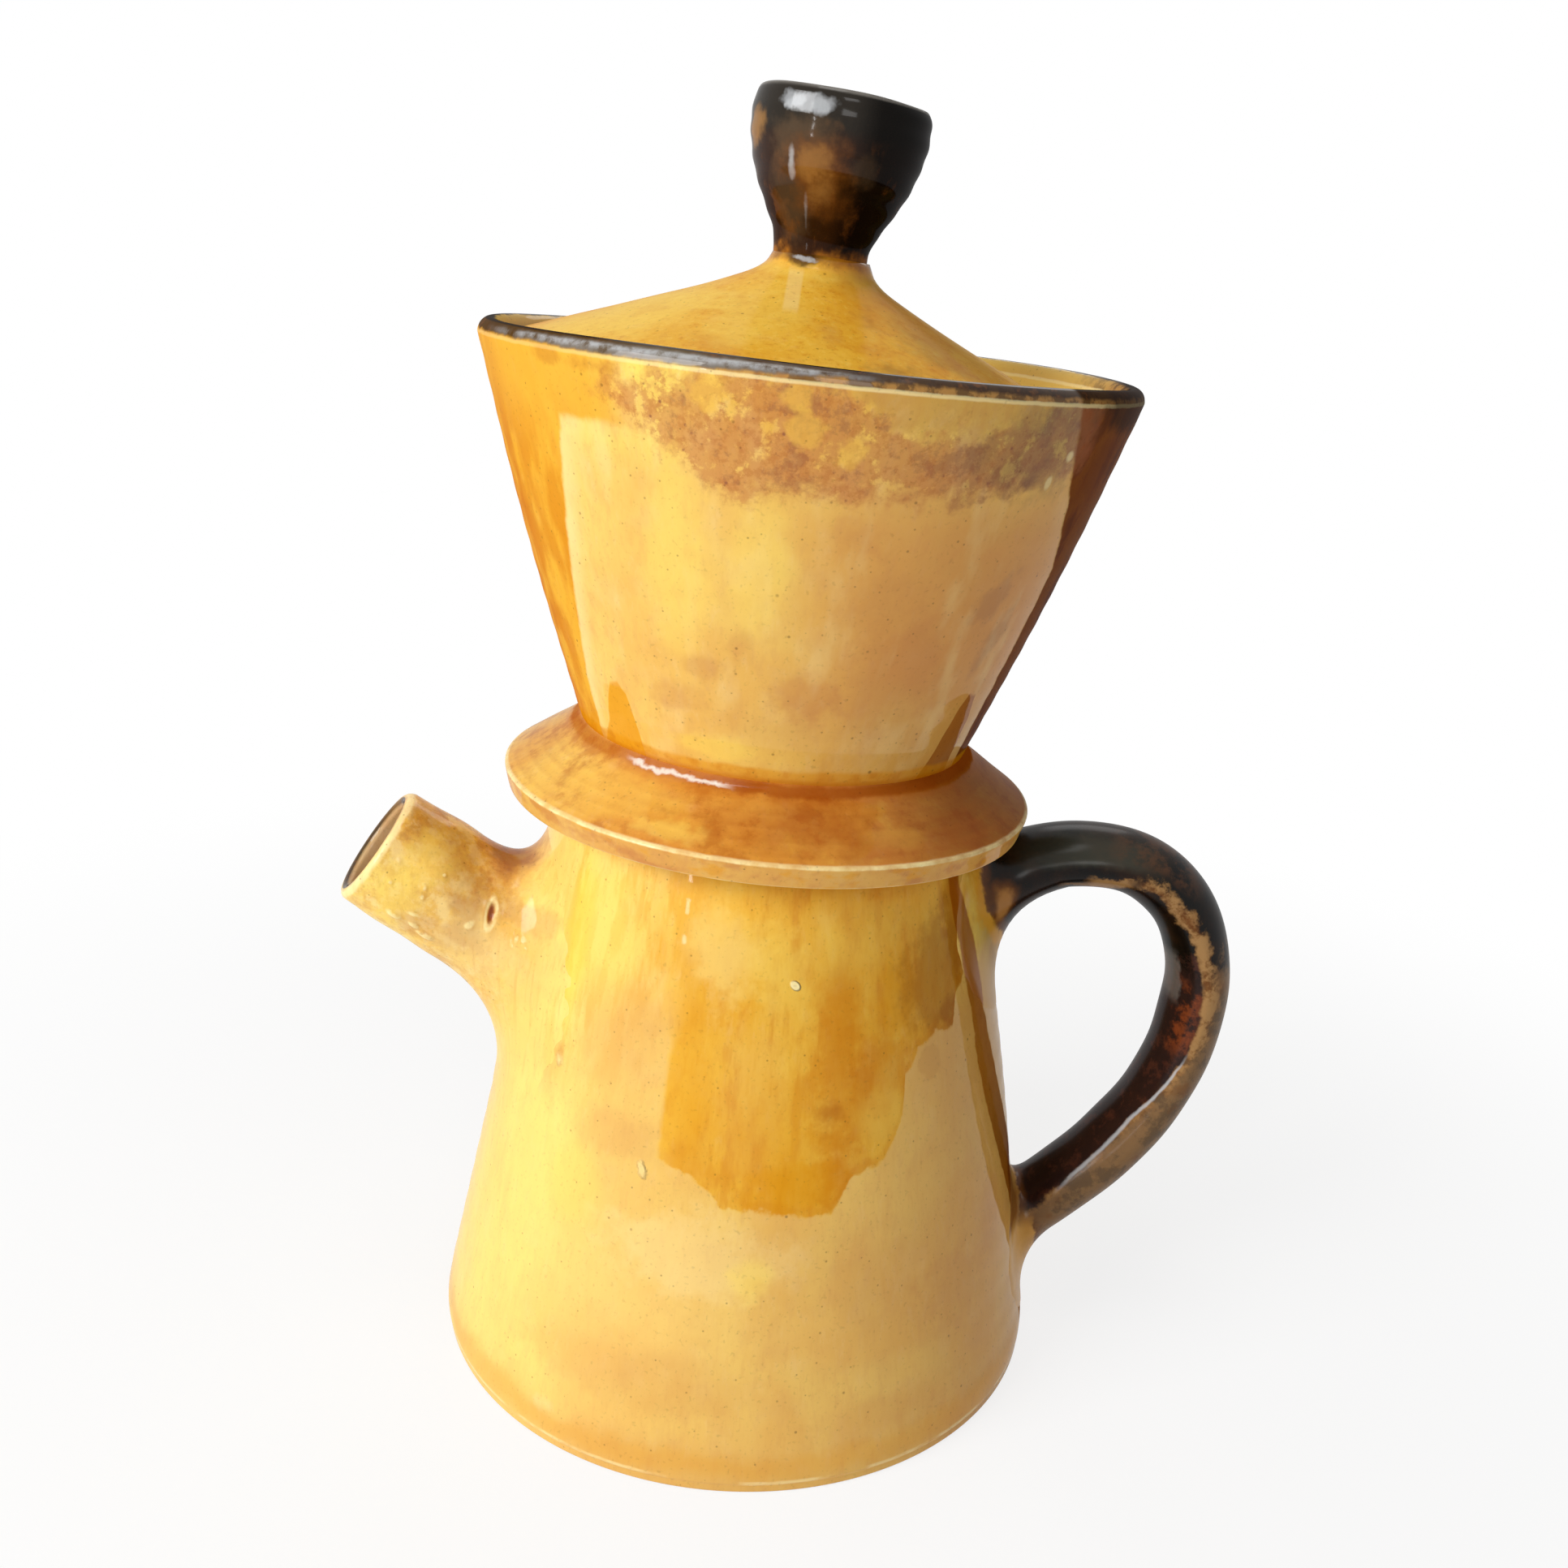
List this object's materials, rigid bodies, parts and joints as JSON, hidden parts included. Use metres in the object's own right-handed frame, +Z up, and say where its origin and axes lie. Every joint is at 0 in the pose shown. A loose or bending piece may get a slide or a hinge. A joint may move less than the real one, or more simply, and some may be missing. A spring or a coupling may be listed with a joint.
{
  "type": "pottery coffee maker",
  "caption": "Hand-thrown pottery coffee maker: a tapered pot with spout and handle, a drip filter cone on a saucer that stands in its mouth, and a lid with a flared knob.",
  "frame": {"origin": "middle of the pot's foot, on the surface that it stands on", "axes": "+Z up along the pot's axis, -X towards the spout, +X towards the handle"},
  "size_m": [0.2027, 0.1416, 0.2758],
  "materials": {
    "amber_glaze": "glossy transparent honey glaze, breaking pale on edges",
    "dark_glaze": "glossy near-black brown glaze, breaking amber on edges"
  },
  "bodies": {
    "pot": {"pot_body": "amber_glaze", "spout": "amber_glaze", "handle": "dark_glaze"},
    "filter": {"filter_cone": "amber_glaze", "filter_saucer": "amber_glaze", "filter_locating_ring": "amber_glaze"},
    "lid": {"lid_dome": "amber_glaze", "lid_knob": "dark_glaze"}
  },
  "joints": [
    {"name": "filter_lift", "type": "slide", "parent": "pot", "child": "filter", "axis": [0.0427, 0, 0.9991], "range_m": [0, 0.04]},
    {"name": "lid_lift", "type": "slide", "parent": "filter", "child": "lid", "axis": [0.0427, 0, 0.9991], "range_m": [0, 0.04]}
  ]
}
